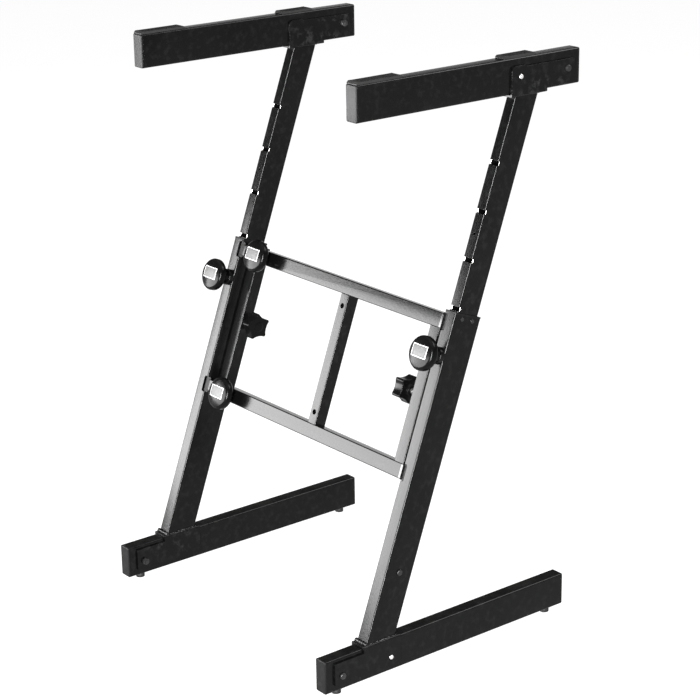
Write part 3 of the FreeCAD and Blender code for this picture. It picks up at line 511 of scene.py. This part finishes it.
def rest_strip(name, body, low, high, ribs):
    """Rubber strip with sloped ends, rounded sides and fine ribs across its top."""
    bm = bmesh.new()
    bmesh.ops.create_cube(bm, size=1.0)
    size = high - low
    bmesh.ops.scale(bm, vec=size, verts=bm.verts)
    bmesh.ops.translate(bm, vec=(low + high) / 2, verts=bm.verts)
    ends = [edge for edge in bm.edges if all(abs(vert.co.z - high.z) < 1e-6 for vert in edge.verts)
            and abs(edge.verts[0].co.y - edge.verts[1].co.y) < 1e-6]
    round_edges(bm, ends, REST_SLOPE, 1)
    length = size.y - 2 * REST_MARGIN * MM
    for rib in range(ribs + 1):
        y = low.y + REST_MARGIN * MM + length * rib / ribs
        bmesh.ops.bisect_plane(bm, geom=bm.verts[:] + bm.edges[:] + bm.faces[:],
                               plane_co=(0, y, 0), plane_no=(0, 1, 0))
    top = sorted((face for face in bm.faces if face.normal.z > 0.99),
                 key=lambda face: face.calc_center_median().y)
    bmesh.ops.inset_individual(bm, faces=top[1:-1], thickness=GROOVE_WALL * MM, depth=0.0)
    bmesh.ops.translate(bm, vec=(0, 0, -GROOVE_DEPTH * MM),
                        verts=list({vert for face in top[1:-1] for vert in face.verts}))
    piece = piece_from(bm, name, body, "black_rubber", smooth=25)
    soften(piece, 0.35, 30)
    return piece


for side in SIDES:
    low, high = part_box(side + "_rest_pads")
    front_end = Vector((high.x, low.y + FRONT_REST * MM, high.z))
    rear_start = Vector((low.x, high.y - REAR_REST * MM, low.z))
    front = rest_strip(side + "_front_rest", side + "_arm", low, front_end, FRONT_RIBS)
    rest_strip(side + "_rear_rest", side + "_arm", rear_start, high, REAR_RIBS)
    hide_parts(side + "_rest_pads")


# --------------------------------------------------------------------- welds

# along the uprights, from the floor's end of the front plane to the pin boss
BOSS_ALONG = 466.0
LEG_MIDDLE = 252.0
LEG_SLOPE = ALONG_LEG.y / ALONG_LEG.z

# spans across and places along the uprights where the posts meet the bars
POST_SPANS = {"right_post": (219.0, 239.5), "centre_post": (18.5, 36.5)}
LEFT_POST_SPAN = (-236.0, -221.0)
BAR_EDGES = {"low": 304.9, "high": 502.7}
BAR_MIDDLES = {"low": 293.9, "high": 513.7}
BAR_SEAMS = {"front": 0.4, "rear": 19.6}
SLIDE_EDGES = {"under": -8.7, "over": 8.7}
SEAM_MARGIN = 1.5

# radius, step from scale to scale and lift off the seam
POST_BEAD = (0.9, 1.9, 0.0)
FOOT_BEAD = (1.4, 2.2, 0.0)
FOOT_FRONT_BEAD = (3.3, 4.4, 0.8)
ARM_BEAD = (1.3, 2.2, 0.0)

# half width, set-back from the front plane and depth of the tubes that the beads go round
UPRIGHT_SECTION = (11.0, 0.0, 50.0)
MAST_SECTION = (9.0, 5.0, 40.0)

boss = middle("right_pin_boss")
PLANE = Vector((0, boss.y, boss.z)) - FORWARD * BOSS_LEAD * MM - ALONG_LEG * BOSS_ALONG * MM


def bead(name, body, start, end, sizes):
    """Weld bead of overlapping scales on a straight run."""
    radius, step, lift = sizes
    shift = (FORWARD + UP) * lift * MM
    start, end = start + shift, end + shift
    run = end - start
    turn = run.to_track_quat("Z", "Y").to_matrix().to_4x4()
    scales = max(2, round(run.length / (step * MM)))
    bm = bmesh.new()
    for index in range(scales + 1):
        swell = 1 + 0.10 * math.sin(index * 2.7) + 0.06 * math.sin(index * 1.1)
        made = bmesh.ops.create_icosphere(bm, subdivisions=2, radius=radius * MM * swell)
        spot = Matrix.Translation(start + run * (index / scales)) @ turn
        bmesh.ops.transform(bm, matrix=spot @ Matrix.Diagonal((1, 1, 0.8, 1)), verts=made["verts"])
    piece_from(bm, name, body, "black_paint", WELD_PAINT, 60)


def frame_place(x, behind, along):
    """Point in metres from millimetres across, behind the uprights' front plane and along them."""
    return PLANE + ACROSS * x * MM - FORWARD * behind * MM + ALONG_LEG * along * MM


def post_beads():
    """Beads where the posts meet the bars."""
    for post, (x0, x1) in POST_SPANS.items():
        for level, along in BAR_EDGES.items():
            for face, behind in BAR_SEAMS.items():
                ends = [frame_place(x, behind, along) for x in (x0 + SEAM_MARGIN, x1 - SEAM_MARGIN)]
                bead(f"{post}_{level}_{face}_bead", "cross_frame", *ends, POST_BEAD)
    for level, along in BAR_MIDDLES.items():
        for edge, offset in SLIDE_EDGES.items():
            ends = [frame_place(x, BAR_SEAMS["rear"], along + offset) for x in LEFT_POST_SPAN]
            bead(f"left_post_{level}_{edge}_bead", "slide_frame", *ends, POST_BEAD)


def beads_round(prefix, body, x, height, section, sizes, front_sizes):
    """Beads round a leaning tube where it leaves a level plate."""
    half, set_back, depth = section
    x0, x1 = (x - half) * MM, (x + half) * MM
    front = PLANE.y + (height - PLANE.z) * LEG_SLOPE + set_back * MM / ALONG_LEG.z
    rear = front + depth * MM / ALONG_LEG.z
    for label, ends, own in (
        ("front", ((x0, front), (x1, front)), front_sizes), ("rear", ((x0, rear), (x1, rear)), sizes),
        ("inner", ((x0, front), (x0, rear)), sizes), ("outer", ((x1, front), (x1, rear)), sizes),
    ):
        start, end = (Vector((*end, height)) for end in ends)
        bead(f"{prefix}_{label}_bead", body, start, end, own)


post_beads()
for side, sign in SIDES.items():
    x = sign * LEG_MIDDLE
    foot_plate_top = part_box(side + "_foot_bracket")[1].z
    arm_plate_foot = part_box(side + "_arm_bracket")[0].z
    beads_round(side + "_foot", side + "_leg", x, foot_plate_top, UPRIGHT_SECTION, FOOT_BEAD, FOOT_FRONT_BEAD)
    beads_round(side + "_arm", side + "_mast", x, arm_plate_foot, MAST_SECTION, ARM_BEAD, ARM_BEAD)


# -------------------------------------------------------- what stays from CAD

NOTCH_FLOOR = (7.5, 8.5)
CAP_DEPTH = 2.5
EDGE = {"black_paint": 0.6, "black_plastic": 0.4, "black_rubber": 0.5, "zinc_steel": 0.25}
# The star studs and clamp screws take the darkened steel, which is painted shade.
OWN_FINISH = {"pivot_bolt": DARK_BOLT, "fixings": DARK_BOLT, "star_stud": SHADE_DARKENED_STEEL, "clamp_screw": SHADE_DARKENED_STEEL}
REMADE = ("height_knob", "clamp_knob", "star_knob", "floor_pads", "rest_pads")


def behind_plane(face):
    """How far a face's middle is behind the uprights' front plane, in mm."""
    return (PLANE - face.center).dot(FORWARD) / MM


def bare_notches(piece):
    """Bare metal where the notches are cut through a mast's paint."""
    piece.data.materials.append(BARE_STEEL)
    for face in piece.data.polygons:
        behind = behind_plane(face)
        across_cut = abs(face.normal.dot(ALONG_LEG)) > 0.9 and abs(face.normal.z) < 0.98
        floor_cut = face.normal.dot(FORWARD) > 0.9 and NOTCH_FLOOR[0] < behind
        if behind < NOTCH_FLOOR[1] and (across_cut or floor_cut):
            face.material_index = 1


def glossy_caps(piece):
    """Polished fronts of the right end caps, ahead of their lugs."""
    piece.data.materials.append(CAP_PLASTIC)
    for face in piece.data.polygons:
        if face.normal.dot(FORWARD) > 0.7 and behind_plane(face) < CAP_DEPTH:
            face.material_index = 1


for node in sorted(frame["nodes"]):
    if not node.endswith(REMADE):
        finish = next((OWN_FINISH[key] for key in OWN_FINISH if key in node), None)
        piece = polished(node, EDGE[slot_of[node]], finish)
        if "inner_upright" in node:
            bare_notches(piece)
        if node == "right_bar_plugs":
            glossy_caps(piece)


# ---------------------------------------------------------------- the studio

def pale_floor():
    """Floor a hair under the pads, nearly white by its own light."""
    bm = bmesh.new()
    bmesh.ops.create_grid(bm, x_segments=1, y_segments=1, size=14.0)
    bmesh.ops.translate(bm, vec=(0, 0, -0.0002), verts=bm.verts)
    mesh = bpy.data.meshes.new("floor")
    bm.to_mesh(mesh)
    bm.free()
    floor = bpy.data.objects.new("floor", mesh)
    bpy.context.scene.collection.objects.link(floor)
    material, tree, shader = new_material("pale_floor")
    tree.links.new(mixed(tree, noise(tree, 3.0, 2.0), grey(0.11), grey(0.13)), shader.inputs["Base Color"])
    shader.inputs["Roughness"].default_value = 1.0
    shader.inputs["Specular IOR Level"].default_value = 0.0
    shader.inputs["Emission Color"].default_value = grey(1.0)
    shader.inputs["Emission Strength"].default_value = 0.93
    mesh.materials.append(material)


def softbox(name, place, target, size, radiance):
    """Oblong lamp that faces a target, with the radiance of its face."""
    light = bpy.data.lights.new(name, "AREA")
    light.shape = "RECTANGLE"
    light.size, light.size_y = size
    light.energy = radiance * math.pi * size[0] * size[1]
    lamp = bpy.data.objects.new(name, light)
    bpy.context.scene.collection.objects.link(lamp)
    lamp.location = place
    lamp.rotation_euler = (Vector(target) - Vector(place)).to_track_quat("-Z", "Y").to_euler()


def studio_world():
    """White wall low down that fades to a dark room overhead."""
    world = bpy.data.worlds.new("studio")
    bpy.context.scene.world = world
    world.use_nodes = True
    tree = world.node_tree
    direction = add(tree, "ShaderNodeTexCoord").outputs["Generated"]
    height = add(tree, "ShaderNodeSeparateXYZ", Vector=direction).outputs["Z"]
    background = tree.nodes["Background"]
    tree.links.new(remap(tree, height, 0.10, 0.22, 1.0, 0.14), background.inputs["Strength"])
    background.inputs["Color"].default_value = grey(1.0)


pale_floor()
studio_world()
softbox("top_softbox", (0.2, 0.2, 4.2), (0, 0, 0), (5.0, 5.0), 1.2)
softbox("front_left_softbox", (-1.02, -1.55, 0.49), (0, 0, 0.49), (1.75, 0.70), 37.0)
softbox("camera_strip", (1.98, -2.2, 1.05), (0, 0, 0.6), (0.6, 1.9), 190.0)
softbox("rear_top_softbox", (1.35, 2.4, 2.9), (0, 0, 0.45), (1.6, 1.6), 14.0)


# ---------------------------------------------------------------- the camera

CAMERA_AZIMUTH = 51.80
CAMERA_ELEVATION = 18.757
CAMERA_ROLL = -0.882
CAMERA_PLACE = (2.30327, -1.78745, 1.38701)
CAMERA_LENS = 105.89


def photo_camera():
    """Camera where the photograph was taken from."""
    azimuth, elevation, roll = (math.radians(angle) for angle in (CAMERA_AZIMUTH, CAMERA_ELEVATION, CAMERA_ROLL))
    back = Vector((math.sin(azimuth) * math.cos(elevation), -math.cos(azimuth) * math.cos(elevation),
                   math.sin(elevation)))
    level = Vector((math.cos(azimuth), math.sin(azimuth), 0))
    above = back.cross(level)
    right = level * math.cos(roll) + above * math.sin(roll)
    up = above * math.cos(roll) - level * math.sin(roll)
    data = bpy.data.cameras.new("photo_camera")
    data.sensor_width = 36.0
    data.lens = CAMERA_LENS
    data.clip_end = 60
    camera = bpy.data.objects.new("photo_camera", data)
    bpy.context.scene.collection.objects.link(camera)
    turn = Matrix((right, up, back)).transposed().to_4x4()
    camera.matrix_world = Matrix.Translation(CAMERA_PLACE) @ turn
    bpy.context.scene.camera = camera


photo_camera()
bpy.context.scene.view_settings.view_transform = "Standard"

bpy.context.view_layer.update()
